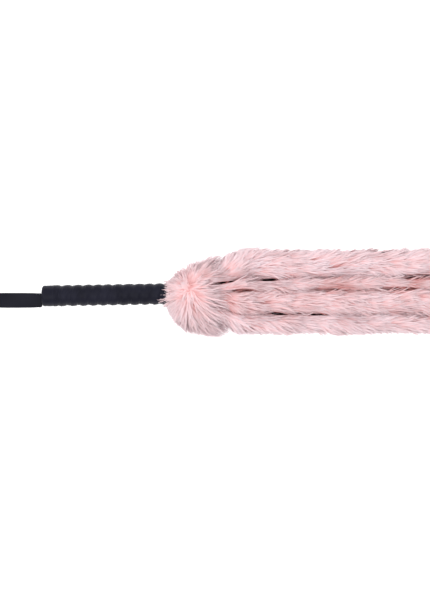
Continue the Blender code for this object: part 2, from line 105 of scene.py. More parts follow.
def cadPoints(node):  # a CAD node's vertices, in metres
    mesh = frame["nodes"][node].data
    flat = np.empty(len(mesh.vertices) * 3)
    mesh.vertices.foreach_get("co", flat)
    return flat.reshape(-1, 3)


# meshes

def buildMesh(name, points, quads, triangles=None, uv=None, normals=None):
    # arrays straight into a mesh, quads first; uv and normals are per corner, and a zero normal leaves
    # that corner to Blender's own
    triangles = np.zeros((0, 3), int) if triangles is None else triangles
    corners = np.concatenate([quads.ravel(), triangles.ravel()]).astype(np.int32)
    starts = np.concatenate([np.arange(len(quads)) * 4, len(quads) * 4 + np.arange(len(triangles)) * 3])
    mesh = bpy.data.meshes.new(name)
    mesh.vertices.add(len(points))
    mesh.vertices.foreach_set("co", np.ascontiguousarray(points, np.float32).ravel())
    mesh.loops.add(len(corners))
    mesh.loops.foreach_set("vertex_index", corners)
    mesh.polygons.add(len(starts))
    mesh.polygons.foreach_set("loop_start", starts.astype(np.int32))
    mesh.update(calc_edges=True)
    mesh.shade_smooth()
    if uv is not None:
        layer = mesh.uv_layers.new(name="OFBake")
        layer.uv.foreach_set("vector", np.ascontiguousarray(uv, np.float32).ravel())
    if normals is not None:
        mesh.normals_split_custom_set(np.ascontiguousarray(normals, np.float32))
    piece = bpy.data.objects.new(name, mesh)
    bpy.context.scene.collection.objects.link(piece)
    return piece


def gridQuads(rows, columns, wrapRows=False, wrapColumns=True, first=0):
    # quads of a rows x columns grid, joined round where asked
    r = np.arange(rows if wrapRows else rows - 1)
    c = np.arange(columns if wrapColumns else columns - 1)
    r, c = np.meshgrid(r, c, indexing="ij")
    rNext, cNext = (r + 1) % rows, (c + 1) % columns
    ring = np.stack([r * columns + c, r * columns + cNext, rNext * columns + cNext, rNext * columns + c], -1)
    return ring.reshape(-1, 4) + first


def fanTriangles(ring, hub, flip=False):  # from each side of a closed ring to one point
    nextOne = np.roll(ring, -1)
    order = (nextOne, ring) if flip else (ring, nextOne)
    return np.stack([order[0], order[1], np.full(len(ring), hub)], -1)


def closedTube(rows):
    # rows x columns points round a tube, closed by a fan to the middle of its first and its last row
    count, columns = rows.shape[:2]
    points = np.concatenate([rows.reshape(-1, 3), rows[:1].mean(1), rows[-1:].mean(1)])
    first = fanTriangles(np.arange(columns), count * columns, flip=True)
    last = fanTriangles((count - 1) * columns + np.arange(columns), count * columns + 1)
    return points, gridQuads(count, columns), np.concatenate([first, last])


def faceOut(piece):  # turns a closed mesh's faces outwards, all together, by its signed volume
    mesh = piece.data
    mesh.calc_loop_triangles()
    corner = np.empty(len(mesh.loop_triangles) * 3, np.int32)
    mesh.loop_triangles.foreach_get("vertices", corner)
    flat = np.empty(len(mesh.vertices) * 3)
    mesh.vertices.foreach_get("co", flat)
    a, b, c = flat.reshape(-1, 3)[corner.reshape(-1, 3)].transpose(1, 0, 2)
    if np.einsum("ij,ij->i", a, np.cross(b, c)).sum() < 0:
        mesh.flip_normals()
    return piece


# shader helpers

def newMaterial(name):
    material = bpy.data.materials.new(name)
    material.use_nodes = True
    tree = material.node_tree
    return material, tree.nodes, tree.links, tree.nodes["Principled BSDF"]


def addNode(nodes, kind, **values):
    node = nodes.new(kind)
    for key, value in values.items():
        setattr(node, key, value)
    return node


def newGroup(name, inputs, outputs):
    # inputs: (name, kind, value); outputs: (name, kind)
    group = bpy.data.node_groups.new(name, "ShaderNodeTree")
    for label, kind, value in inputs:
        socket = group.interface.new_socket(label, in_out="INPUT", socket_type=kind)
        socket.default_value = value
    for label, kind in outputs:
        group.interface.new_socket(label, in_out="OUTPUT", socket_type=kind)
    return group, group.nodes.new("NodeGroupInput"), group.nodes.new("NodeGroupOutput")


grainLook = {"smoothness": 0.6, "cellShare": 0.35, "creaseDetail": 5.0, "blotchScale": 45.0}


def makeGrainGroup():
    # leather: height = cellShare x pebbled cells + slow creases; tone = wide blotches
    group, given, out = newGroup(
        "leatherGrain",
        [("Grain Size", "NodeSocketFloat", 900.0), ("Crease Size", "NodeSocketFloat", 120.0)],
        [("Height", "NodeSocketFloat"), ("Tone", "NodeSocketFloat")])
    nodes, links = group.nodes, group.links
    place = nodes.new("ShaderNodeTexCoord")
    cells = addNode(nodes, "ShaderNodeTexVoronoi", feature="SMOOTH_F1")
    cells.inputs["Smoothness"].default_value = grainLook["smoothness"]
    creases = nodes.new("ShaderNodeTexNoise")
    creases.inputs["Detail"].default_value = grainLook["creaseDetail"]
    blotch = nodes.new("ShaderNodeTexNoise")
    blotch.inputs["Scale"].default_value = grainLook["blotchScale"]
    add = addNode(nodes, "ShaderNodeMath", operation="MULTIPLY_ADD")
    add.inputs[1].default_value = grainLook["cellShare"]
    links.new(place.outputs["Object"], cells.inputs["Vector"])
    links.new(place.outputs["Object"], creases.inputs["Vector"])
    links.new(place.outputs["Object"], blotch.inputs["Vector"])
    links.new(given.outputs["Grain Size"], cells.inputs["Scale"])
    links.new(given.outputs["Crease Size"], creases.inputs["Scale"])
    links.new(cells.outputs["Distance"], add.inputs[0])
    links.new(creases.outputs["Fac"], add.inputs[2])
    links.new(add.outputs["Value"], out.inputs["Height"])
    links.new(blotch.outputs["Fac"], out.inputs["Tone"])
    return group


knitLook = {"distortion": 1.2, "detail": 1.0, "lintScale": 160.0}


def makeKnitGroup():
    # knitted or woven threads: height = product of two crossed waves; tone = lint
    group, given, out = newGroup(
        "threadKnit",
        [("Thread Scale", "NodeSocketFloat", 260.0)],
        [("Height", "NodeSocketFloat"), ("Tone", "NodeSocketFloat")])
    nodes, links = group.nodes, group.links
    place = nodes.new("ShaderNodeTexCoord")
    waves = []
    for direction in ("X", "Y"):
        wave = addNode(nodes, "ShaderNodeTexWave", wave_type="BANDS", bands_direction=direction)
        wave.inputs["Distortion"].default_value = knitLook["distortion"]
        wave.inputs["Detail"].default_value = knitLook["detail"]
        links.new(place.outputs["Object"], wave.inputs["Vector"])
        links.new(given.outputs["Thread Scale"], wave.inputs["Scale"])
        waves.append(wave)
    both = addNode(nodes, "ShaderNodeMath", operation="MULTIPLY")
    lint = nodes.new("ShaderNodeTexNoise")
    lint.inputs["Scale"].default_value = knitLook["lintScale"]
    links.new(place.outputs["Object"], lint.inputs["Vector"])
    links.new(waves[0].outputs["Fac"], both.inputs[0])
    links.new(waves[1].outputs["Fac"], both.inputs[1])
    links.new(both.outputs["Value"], out.inputs["Height"])
    links.new(lint.outputs["Fac"], out.inputs["Tone"])
    return group


def rampNode(nodes, stops):  # colour ramp through (place, colour) stops
    ramp = nodes.new("ShaderNodeValToRGB")
    elements = ramp.color_ramp.elements
    while len(elements) < len(stops):
        elements.new(0.5)
    for element, (place, color) in zip(elements, stops):
        element.position = place
        element.color = (*color, 1.0)
    return ramp


toneSpan = (0.3, 0.7)         # of a pattern's tone, from a finish's dark colour to its light one
finishes = {
    # roughness is from and to, bump is strength and depth in metres
    "wrapLeather": {
        "pattern": {"Grain Size": 1100.0, "Crease Size": 190.0},
        "dark": (0.0054, 0.0054, 0.0105), "light": (0.0090, 0.0090, 0.0170),
        "roughness": (0.36, 0.48), "bump": (0.35, 0.0002), "specular": 0.075,
    },
    "capLeather": {
        "pattern": {"Grain Size": 1300.0, "Crease Size": 90.0},
        "dark": (0.0054, 0.0054, 0.0105), "light": (0.0090, 0.0090, 0.0170),
        "roughness": (0.36, 0.46), "bump": (0.25, 0.00015), "specular": 0.075,
    },
    "strapLeather": {
        "pattern": {"Grain Size": 1500.0, "Crease Size": 70.0},
        "dark": (0.0046, 0.0046, 0.0084), "light": (0.0074, 0.0074, 0.0130),
        "roughness": (0.36, 0.46), "bump": (0.22, 0.00012), "specular": 0.065,
    },
    "backingKnit": {
        "pattern": {"Thread Scale": 170.0},
        "dark": (0.006, 0.006, 0.008), "light": (0.012, 0.012, 0.014),
        "roughness": (0.85, 0.95), "bump": (0.6, 0.0003), "specular": 0.2, "sheen": 0.3,
    },
    "waxedThread": {
        "pattern": {"Thread Scale": 420.0},
        "dark": (0.012, 0.012, 0.014), "light": (0.030, 0.030, 0.034),
        "roughness": (0.6, 0.75), "bump": (0.5, 0.0002), "specular": 0.3,
    },
    "turnedWood": {
        "pattern": {"Grain Size": 240.0, "Crease Size": 60.0},
        "dark": (0.33, 0.19, 0.09), "light": (0.52, 0.34, 0.18),
        "roughness": (0.6, 0.75), "bump": (0.2, 0.0001), "specular": 0.3,
    },
    "gripFoam": {
        "pattern": {"Grain Size": 1800.0, "Crease Size": 300.0},
        "dark": (0.02, 0.02, 0.02), "light": (0.045, 0.045, 0.045),
        "roughness": (0.85, 0.95), "bump": (0.5, 0.0002), "specular": 0.2,
    },
    "drawnSteel": {
        "pattern": {"Grain Size": 2200.0, "Crease Size": 500.0},
        "dark": (0.50, 0.50, 0.51), "light": (0.62, 0.62, 0.63),
        "roughness": (0.28, 0.40), "bump": (0.1, 0.00005), "specular": 0.5, "metallic": 1.0,
    },
}


def surfaceMaterial(name, group):
    # a finish whose colour, roughness and bump come from one shared pattern group
    look = finishes[name]
    material, nodes, links, shader = newMaterial(name)
    pattern = addNode(nodes, "ShaderNodeGroup", node_tree=group)
    for label, value in look["pattern"].items():
        pattern.inputs[label].default_value = value
    tint = rampNode(nodes, [(toneSpan[0], look["dark"]), (toneSpan[1], look["light"])])
    links.new(pattern.outputs["Tone"], tint.inputs["Fac"])
    links.new(tint.outputs["Color"], shader.inputs["Base Color"])
    gloss = nodes.new("ShaderNodeMapRange")
    gloss.inputs["To Min"].default_value, gloss.inputs["To Max"].default_value = look["roughness"]
    links.new(pattern.outputs["Tone"], gloss.inputs["Value"])
    links.new(gloss.outputs["Result"], shader.inputs["Roughness"])
    relief = nodes.new("ShaderNodeBump")
    relief.inputs["Strength"].default_value, relief.inputs["Distance"].default_value = look["bump"]
    links.new(pattern.outputs["Height"], relief.inputs["Height"])
    links.new(relief.outputs["Normal"], shader.inputs["Normal"])
    shader.inputs["Specular IOR Level"].default_value = look["specular"]
    shader.inputs["Sheen Weight"].default_value = look.get("sheen", 0.0)
    shader.inputs["Metallic"].default_value = look.get("metallic", 0.0)
    return material


furLook = {
    # root to tip along a lock, at middling tone; the darker roots are partly the fur's own colour and partly
    # painted shade deep in the pile
    "stops": [(0.0, (0.54, 0.23, 0.22)), (0.28, (0.71, 0.41, 0.41)), (0.58, (0.74, 0.53, 0.545)),
              (0.85, (0.715, 0.57, 0.59)), (1.0, (0.69, 0.61, 0.655))],
    # tones across: the rosy dark low end serves random tone and also the painted shade of seams and hollows
    "tones": [(0.0, (0.74, 0.47, 0.44)), (0.3, (0.89, 0.83, 0.83)), (1.0, (1.05, 1.14, 1.17))],
    "roughness": 0.9, "specular": 0.1,
    "sheen": 0.10, "sheenRoughness": 0.6, "sheenTint": (1.0, 0.85, 0.88),
    "softness": 0.5,          # how far a lock's shading follows the skin it grows from
    "roundness": 1.1,         # how round a lock is shaded across
}


def makeFurMaterial():
    # colour = stops read at V, along each lock, times tones read at U, its own tone together with the painted
    # shade of seams and hollows
    material, nodes, links, shader = newMaterial("pinkFur")
    uv = addNode(nodes, "ShaderNodeUVMap", uv_map="OFBake")
    split = nodes.new("ShaderNodeSeparateXYZ")
    along = rampNode(nodes, furLook["stops"])
    tone = rampNode(nodes, furLook["tones"])
    mix = addNode(nodes, "ShaderNodeMix", data_type="RGBA", blend_type="MULTIPLY")
    mix.inputs["Factor"].default_value = 1.0
    links.new(uv.outputs["UV"], split.inputs["Vector"])
    links.new(split.outputs["Y"], along.inputs["Fac"])
    links.new(split.outputs["X"], tone.inputs["Fac"])
    links.new(along.outputs["Color"], mix.inputs["A"])
    links.new(tone.outputs["Color"], mix.inputs["B"])
    links.new(mix.outputs["Result"], shader.inputs["Base Color"])
    shader.inputs["Roughness"].default_value = furLook["roughness"]
    shader.inputs["Specular IOR Level"].default_value = furLook["specular"]
    shader.inputs["Sheen Weight"].default_value = furLook["sheen"]
    shader.inputs["Sheen Roughness"].default_value = furLook["sheenRoughness"]
    shader.inputs["Sheen Tint"].default_value = (*furLook["sheenTint"], 1.0)
    return material


# camera and studio

def makeStudio():
    # camera straight above the aim, even sky, glowing floor, and three lamps turned to the origin
    camera = bpy.data.objects.new("camera", bpy.data.cameras.new("camera"))
    camera.data.lens = view["lens"]
    camera.data.sensor_width = view["sensor"]
    camera.data.clip_end = view["clipEnd"]
    away = view["tall"] * view["lens"] / view["sensor"]
    camera.location = (view["aimX"], view["aimY"], view["aimZ"] + away)
    bpy.context.scene.collection.objects.link(camera)
    bpy.context.scene.camera = camera
    bpy.context.scene.view_settings.view_transform = "Standard"

    world = bpy.data.worlds.new("sky")
    world.use_nodes = True
    world.node_tree.nodes["Background"].inputs["Color"].default_value = (*studio["skyColor"], 1.0)
    world.node_tree.nodes["Background"].inputs["Strength"].default_value = studio["skyPower"]
    bpy.context.scene.world = world

    half = studio["floorSize"] / 2
    corners = np.array([(-half, -half, 0), (half, -half, 0), (half, half, 0), (-half, half, 0)], float)
    floor = buildMesh("floor", corners, np.array([[0, 1, 2, 3]]))
    material, _, _, shader = newMaterial("paleFloor")
    shader.inputs["Base Color"].default_value = (*studio["floorColor"], 1.0)
    shader.inputs["Roughness"].default_value = studio["floorRoughness"]
    shader.inputs["Specular IOR Level"].default_value = studio["floorSpecular"]
    shader.inputs["Emission Color"].default_value = (1.0, 1.0, 1.0, 1.0)
    shader.inputs["Emission Strength"].default_value = studio["floorGlow"]
    floor.data.materials.append(material)

    lamps = (
        ("keyLamp", "keyPower", "keySize", (-0.25, -0.55, 1.9)),
        ("fillLamp", "fillPower", "fillSize", (0.7, 0.9, 1.5)),
        ("sideLamp", "fillPower", "fillSize", (-1.3, 0.3, 1.2)),
    )
    for name, power, size, place in lamps:
        lamp = bpy.data.objects.new(name, bpy.data.lights.new(name, "AREA"))
        lamp.data.energy = studio[power]
        lamp.data.size = studio[size]
        lamp.location = place
        toMiddle = -np.array(place)
        lamp.rotation_euler = (math.atan2(math.hypot(toMiddle[0], toMiddle[1]), -toMiddle[2]), 0.0,
                               math.atan2(toMiddle[0], -toMiddle[1]) + math.pi)
        bpy.context.scene.collection.objects.link(lamp)


# the grip's own axis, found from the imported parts

def gripAxis():
    # from the middle of the cap towards the middle of the collar's band, starting at the cap's end
    capLow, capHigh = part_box("butt_cap")
    bandLow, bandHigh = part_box("collar_band")
    capMiddle = (np.array(capLow) + np.array(capHigh)) / 2
    bandMiddle = (np.array(bandLow) + np.array(bandHigh)) / 2
    along = unit(bandMiddle - capMiddle)
    across = unit(np.cross([0.0, 0.0, 1.0], along))
    up = np.cross(along, across)
    butt = capMiddle + along * ((cadPoints("butt_cap") - capMiddle) @ along).min()
    return butt, along, across, up


butt, gripAlong, gripAcross, gripUp = gripAxis()


def onGrip(along, radius, angle):
    # point at this distance from the butt, this radius and this angle from the across axis
    along, radius, angle = np.broadcast_arrays(along, radius, angle)
    return (butt + along[..., None] * gripAlong + (radius * np.cos(angle))[..., None] * gripAcross
            + (radius * np.sin(angle))[..., None] * gripUp)


def gripReach(node):  # lowest and highest place along the grip, and the radii, of a CAD node
    away = cadPoints(node) - butt
    along = away @ gripAlong
    radius = np.linalg.norm(away - along[:, None] * gripAlong, axis=1)
    return along.min(), along.max(), radius.min(), radius.max()


wrapShape = {
    "pitch": 0.0118,          # one turn of the strip
    "proud": 0.0003,          # crest beyond the CAD strip's
    "swell": 0.00135,         # crest above the groove between turns
    "lean": 1.25,             # crest's place across a turn, even at 1
    "sharp": 0.85,            # crest's narrowness
    "phase": 0.09,            # where the first turn starts
    "drift": 0.06, "driftSize": 0.05, "driftRound": 0.003,    # how far and how slowly the turns wander
    "levelLength": 0.004,     # over which the strip starts level with the cap
    "foldAt": 0.30, "foldWidth": 0.050, "foldDepth": 0.00042,
    "foldWander": 0.10, "foldSize": 0.035, "foldRound": 0.004,
    "foldKept": 0.6, "foldVaries": 0.7, "foldMost": 1.4, "foldPatch": 0.03, "foldPatchRound": 0.006,
    "wrinkle": 0.00017, "wrinkleSize": 0.0022, "wrinkleAcross": 0.011, "wrinkleRound": 0.0013,
    "startRound": 0.0006, "startRise": 0.1, "endRound": 0.0012,   # lengths of its rounded ends
    "rowStep": 0.00024, "columns": 96,
}


def makeWrap():
    # radius = crest - swell (1 - sin(pi p^lean)^sharp) - fold - wrinkles, for a place p across the strip
    shape = wrapShape
    start, stop, inner, crest = gripReach("grip_wrap")
    crest += shape["proud"]
    rows = int((stop - start) / shape["rowStep"])
    along = np.linspace(start, stop, rows)[:, None]
    angle = circle(shape["columns"])[None, :]
    turn = (math.pi - angle) / math.tau
    drift = shape["drift"] * ripple(along, angle * shape["driftRound"], shape["driftSize"], 11)
    across = np.mod((along - start) / shape["pitch"] - turn - shape["phase"] + drift, 1.0)
    swell = np.sin(math.pi * across ** shape["lean"]) ** shape["sharp"]
    swell = 1 - (1 - swell) * smooth((along - start) / shape["levelLength"])
    foldWander = ripple(along, angle * shape["foldRound"], shape["foldSize"], 12)
    foldPlace = shape["foldAt"] + shape["foldWander"] * foldWander
    fold = np.exp(-((across - foldPlace) / shape["foldWidth"]) ** 2)
    patches = ripple(along, angle * shape["foldPatchRound"], shape["foldPatch"], 13)
    patches = np.clip(shape["foldKept"] + shape["foldVaries"] * patches, 0, shape["foldMost"])
    foldDeep = shape["foldDepth"] * patches
    lines = ripple(across * shape["wrinkleAcross"], angle * shape["wrinkleRound"], shape["wrinkleSize"],
                   14, waves=9)
    radius = crest - shape["swell"] * (1 - swell) - foldDeep * fold + shape["wrinkle"] * lines
    rise = shape["startRise"]
    ends = np.minimum(1 - rise + rise * smooth((along - start) / shape["startRound"]),
                      smooth((stop - along) / shape["endRound"]))
    radius = inner + (radius - inner) * ends
    outside = onGrip(along, radius, angle)
    lining = onGrip(np.array([[stop], [start]]), inner, angle)
    points = np.concatenate([outside, lining])
    quads = gridQuads(len(points), shape["columns"], wrapRows=True)
    return faceOut(buildMesh("gripWrapSkin", points.reshape(-1, 3), quads))


capShape = {
    "rows": 60, "columns": 128, "edge": 0.0026, "edgeSteps": 12,
    "lipLift": 0.00028, "lipWidth": 0.0014, "lipBack": 0.0011,    # raised lip towards the wound strip
    "overhang": 0.0002,       # towards the wound strip
    "proud": 0.0002,          # leather beyond the CAD cap
    "liningGap": 0.0003,      # round the foam
    "slotHigh": 0.0037, "slotSlack": 0.0006, "slotPower": 0.22,
    "wall": 0.0019, "wallDepths": (0.0019, 0.0004, 0.0),
    "endShares": (0.12, 0.4, 0.7, 1.0), "endCrown": 0.00015,      # end wall from the slot to the edge
    "wrinkle": 0.00006, "wrinkleSize": 0.006, "wrinkleTurn": (0.01, 0.013), "wrinkleFade": 0.002,
}


def slotOutline(turn, wide, high, offset):
    # rounded oblong as a superellipse: x = w |cos|^k, y = h |sin|^k
    power = capShape["slotPower"]
    return wide / 2 * flattened(np.cos(turn), power) + offset, high / 2 * flattened(np.sin(turn), power)


def makeCap():
    # rings (depth, x, y) from the slot's wall over the end, round the edge, e (1 - cos) in and e sin out,
    # along the side, over the lip and back inside
    shape = capShape
    _, stop, _, outer = gripReach("butt_cap")
    stop += shape["overhang"]
    outer += shape["proud"]
    _, _, _, inner = gripReach("core_padding")
    inner += shape["liningGap"]
    anchorLow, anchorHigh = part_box("strap_anchor")
    offset = ((np.array(anchorLow) + np.array(anchorHigh)) / 2 - butt) @ gripAcross
    wide = anchorHigh[1] - anchorLow[1] + shape["slotSlack"]
    turn = circle(shape["columns"])
    slotX, slotY = slotOutline(turn, wide, shape["slotHigh"], offset)
    rings = []

    def addRing(depth, x, y):
        rings.append(np.stack([np.full(len(turn), depth), x, y], -1))

    def addRound(depth, radius):
        addRing(depth, radius * np.cos(turn), radius * np.sin(turn))

    for depth in shape["wallDepths"]:
        addRing(depth, slotX, slotY)
    edge = shape["edge"]
    flatRadius = outer - edge
    for share in shape["endShares"]:
        x = slotX + (flatRadius * np.cos(turn) - slotX) * share
        y = slotY + (flatRadius * np.sin(turn) - slotY) * share
        addRing(-shape["endCrown"] * math.sin(math.pi * share), x, y)
    for step in range(1, shape["edgeSteps"] + 1):
        bend = math.pi / 2 * step / shape["edgeSteps"]
        addRound(edge * (1 - math.cos(bend)), flatRadius + edge * math.sin(bend))
    turnX, turnY = shape["wrinkleTurn"]
    wrinklePlace = np.cos(turn) * turnX + np.sin(turn) * turnY
    for place in np.linspace(edge, stop, shape["rows"])[1:]:
        lip = shape["lipLift"] * math.exp(-((place - stop + shape["lipBack"]) / shape["lipWidth"]) ** 4)
        soft = shape["wrinkle"] * ripple(np.full(len(turn), place), wrinklePlace, shape["wrinkleSize"], 21)
        addRound(place, outer + lip + soft * min(1.0, (stop - place) / shape["wrinkleFade"]))
    addRound(stop, inner)
    addRound(shape["wall"], inner)
    depth, x, y = np.moveaxis(np.array(rings), -1, 0)[..., None]
    points = butt + depth * gripAlong + x * gripAcross + y * gripUp
    quads = gridQuads(len(rings), len(turn), wrapRows=True)
    return faceOut(buildMesh("buttCapSkin", points.reshape(-1, 3), quads))


strapShape = {
    "length": 0.158, "loopHigh": 0.0245, "dropLength": 0.045, "opensAt": 0.012, "riseLength": 0.110,
    "tongue": 0.0032, "floorGap": 0.0002, "wide": 0.0170, "neckWide": 0.0162, "rootWide": 0.0132,
    "shift": -0.0017,         # free strap, across, from where it enters the cap
    "thick": 0.00152, "steps": 420, "insideCap": 0.0010,
    "startRun": 0.0005, "runSteps": 200, "bendSteps": 40, "evenings": 4,
    "shoulder": 0.0007,       # over which it narrows into the cap
    "shoulderGap": 0.0002,    # outside the cap's end
    "crown": 0.00040,         # middle of the strap above its edges
    "sectionSteps": 24, "sectionWide": 0.25, "sectionTall": 0.6,  # steps and powers of the rounded oblong
    "waver": 0.0003, "waverSize": 0.07,
    "lowest": 0.0001,
}


def loopOutline():
    # outer outline, (run, height) from the hinge: floor + (start - floor)(1 - smooth(run / drop)) below,
    # out to a half round, and back above with a bulge of smooth((run - opensAt) / rise)
    shape = strapShape
    hinge = jointPlace("strap_swing")
    floor = shape["floorGap"] - hinge[2]
    endRadius = (shape["loopHigh"] - shape["floorGap"]) / 2
    endRun = shape["length"] - endRadius
    runs = np.linspace(shape["startRun"], endRun, shape["runSteps"])
    low = floor + (-shape["tongue"] / 2 - floor) * (1 - smooth(runs / shape["dropLength"]))
    bulge = (shape["loopHigh"] - shape["floorGap"] - shape["tongue"]) * smooth(
        (runs - shape["opensAt"]) / shape["riseLength"])
    turn = np.linspace(-math.pi / 2, math.pi / 2, shape["bendSteps"])[1:-1]
    arcRun = endRun + endRadius * np.cos(turn)
    arcHigh = low[-1] + endRadius + endRadius * np.sin(turn)
    inside = butt[0] + shape["insideCap"] - hinge[0]
    back = (low + shape["tongue"] + bulge)[::-1]
    run = np.concatenate([[-inside], runs, arcRun, runs[::-1], [-inside]])
    high = np.concatenate([low[:1], low, arcHigh, back, [low[0] + shape["tongue"]]])
    return hinge[0] - run, hinge[2] + high, hinge


def makeStrap():
    # centre line: the loop's outline inset by half a thickness; section: crowned rounded oblong
    shape = strapShape
    outX, outZ, hinge = loopOutline()
    run = np.concatenate([[0], np.cumsum(np.hypot(np.diff(outX), np.diff(outZ)))])
    even = np.linspace(0, run[-1], shape["steps"])
    x = np.interp(even, run, outX)
    z = np.interp(even, run, outZ)
    for _ in range(shape["evenings"]):
        x[1:-1] = (x[:-2] + 2 * x[1:-1] + x[2:]) / 4
        z[1:-1] = (z[:-2] + 2 * z[1:-1] + z[2:]) / 4
    tangent = unit(np.stack([np.gradient(x), np.gradient(z)], -1))
    inward = np.stack([tangent[:, 1], -tangent[:, 0]], -1)  # the path runs out below and back above
    half = shape["thick"] / 2
    x = x + inward[:, 0] * half
    z = z + inward[:, 1] * half
    share = smooth((butt[0] - shape["shoulderGap"] - x) / shape["shoulder"])
    neck = smooth((hinge[0] - x) / shape["opensAt"])
    middle = hinge[1] + shape["shift"] * share
    free = shape["neckWide"] + (shape["wide"] - shape["neckWide"]) * neck
    wide = shape["rootWide"] + (free - shape["rootWide"]) * share
    wide = wide + shape["waver"] * ripple(x, 0 * x, shape["waverSize"], 31) * share
    turn = circle(shape["sectionSteps"])
    sectionY = flattened(np.cos(turn), shape["sectionWide"])
    sectionZ = flattened(np.sin(turn), shape["sectionTall"])[None, :]
    crown = shape["crown"] * (0.5 - sectionY ** 2)
    y = middle[:, None] + wide[:, None] / 2 * sectionY[None, :]
    off = half * sectionZ - crown[None, :] * (sectionZ < 0)
    px = x[:, None] + inward[:, :1] * off
    pz = np.maximum(z[:, None] + inward[:, 1:] * off, shape["lowest"])
    return faceOut(buildMesh("wristStrapLeather", *closedTube(np.stack([px, y, pz], -1))))


# tails

sameSection = 0.00002         # how near in x the vertices of one section lie


def tailCourse(node):
    # middle, half width, underside and top of a tail's CAD solid at each of its sections
    points = cadPoints(node)
    places = np.unique(np.round(points[:, 0], 5))
    groups = [points[np.abs(points[:, 0] - x) < sameSection] for x in places]
    yLow = np.array([g[:, 1].min() for g in groups])
    yHigh = np.array([g[:, 1].max() for g in groups])
    zLow = np.array([g[:, 2].min() for g in groups])
    zHigh = np.array([g[:, 2].max() for g in groups])
    return {"x": places, "middle": (yLow + yHigh) / 2, "half": (yHigh - yLow) / 2, "low": zLow, "high": zHigh}


furLimits = {
    # hair past the side and the top is bent back, and only these shares of what was over are left
    "side": 0.0515, "sideShare": 0.22, "top": 0.045, "topShare": 0.3,
    "floor": 0.0011, "under": 0.0136,     # heights of paths: of all, at least; of the lower tails', at most
    "lowest": 0.0002,         # height of any hair's surface, at least
}
# outline the pile is trimmed to, seen from above: x, towards +Y, towards -Y, in millimetres
furOutline = np.array([
    (-52, 8, -16), (-46, 12, -30), (-41, 22, -37), (-34, 26, -42), (-27, 31, -49), (-21, 34, -52),
    (-7, 37, -53), (7, 41, -52.5), (21, 45, -51), (35, 46, -49.5), (41, 47, -48.5), (48, 49, -48),
    (76, 49.5, -49), (104, 47, -49.5), (138, 46.5, -51.5), (186, 47, -49.5), (219, 49.5, -48),
    (235, 47, -49.5), (248, 51, -48), (290, 48, -49), (330, 47.5, -48), (385, 47.5, -48)]) / 1000
outlineSlack = 0.0036         # how far single locks reach over it
shortestLock = 0.25           # share of its length that a trimmed lock keeps at least


topFur = {
    # skin inside the CAD pile, which the hair fills: half width at each seam, from -Y, and on the outside
    "skinWide": (0.88, 0.99, 0.88), "skinOuter": 0.62, "skinTall": 0.66,
    "tuft": 0.0068, "triangles": 186000, "length": 0.0260, "wide": 0.00150, "lift": 0.15, "pull": 0.62,
    "paintedSeamShade": 0.40, "tailTone": {1: 0.08, 2: -0.06, 3: -0.12, 4: 0.07},
    "splay": 0.26, "wander": 0.24, "wave": 0.085, "rings": 4,
    # lean of the whole tail's hair towards -Y, near its root and further on
    "sweep": {1: (0.34, 0.16), 2: (0.10, 0.08), 3: (0.05, -0.05), 4: (-0.30, -0.08)},
    # extra splay of the outer tails' hair by their roots
    "flare": {1: 1.10, 4: -0.80}, "flareLength": 0.040,
}
bottomFur = {
    "skinWide": (0.9, 0.9, 0.9), "skinOuter": 0.74, "skinTall": 0.70,
    "tuft": 0.0066, "triangles": 96000, "length": 0.0215, "wide": 0.00150, "lift": 0.22, "pull": 0.66,
    "paintedSeamShade": 0.1, "tailTone": {},
    "splay": 0.38, "wander": 0.30, "wave": 0.055, "rings": 4,
    "sweep": {1: (0.30, 0.12), 2: (0.10, 0.05), 3: (-0.10, -0.05), 4: (-0.30, -0.12)},
    "flare": {1: 1.1, 4: -0.9}, "flareLength": 0.036, "ceiling": furLimits["under"],
}
tailFur = {
    # the same for both rows
    "archWide": 0.8, "archTall": 0.7, "archEnd": 0.001,   # powers of the skin's section, and its open ends
    "inset": 0.001,           # the skin's ends inside the CAD pile's
    # the skin reads the map near the roots, so it takes their dark colour, which is partly painted shade
    "skinRows": 90, "skinColumns": 15, "skinTone": 0.4, "skinAlong": 0.10,
    "bulge": 1.6,             # half widths in the length of the skin's arc, besides twice its height
    "tuftJitter": 0.4, "lockJitter": 0.62,    # scatter, in spacings of the tufts
    "edge": 0.01,             # share of the arc without roots along each side
    "tuftLength": (0.78, 1.15),
    "tuftLean": 0.09, "lockLean": 0.07,   # standard deviations of the lean
    "waveAcross": 0.03,       # what the whole arc counts for in the slow waves of lean and tone
    "rise": 0.06,             # how far the hair starts off the skin
    "sweepLength": 0.11,      # from the root, over which the near lean gives way to the far one
    "tone": 0.5, "toneSpread": 0.07, "tonePatch": 0.12, "tonePatchSize": 0.05,
    # painted shade along the seams between tails, where the crevices fall into shadow
    "seamShadeReach": 0.16,        # share of a tail's arc that is darker along a seam
}
# places where the hair parts along the seam on the +Y side of a top tail: from x, to x, half width, and
# the share of hairs that cross
partings = {
    3: ((0.0050, 0.0310, 0.0016, 0.0), (0.0580, 0.0800, 0.0018, 0.01), (0.2220, 0.2580, 0.0044, 0.04)),
    2: ((0.0260, 0.0480, 0.0026, 0.02), (0.1180, 0.1480, 0.0018, 0.04), (0.1980, 0.2360, 0.0022, 0.06)),
    1: ((0.0075, 0.0110, 0.0018, 0.0), (0.0660, 0.0880, 0.0015, 0.02), (0.0850, 0.1160, 0.0024, 0.30),
        (0.1130, 0.1380, 0.0015, 0.02)),
}
partingShape = {"taper": 5, "bluntness": 0.6, "kept": 0.85, "varies": 0.25, "size": 0.006}


def seamLine(which, x):  # y half way between a top tail and its neighbour towards +Y
    one, other = tailCourse(f"top_tail_{which}_pile"), tailCourse(f"top_tail_{which + 1}_pile")
    upper = np.interp(x, one["x"], one["middle"] + one["half"])
    lower = np.interp(x, other["x"], other["middle"] - other["half"])
    return (upper + lower) / 2


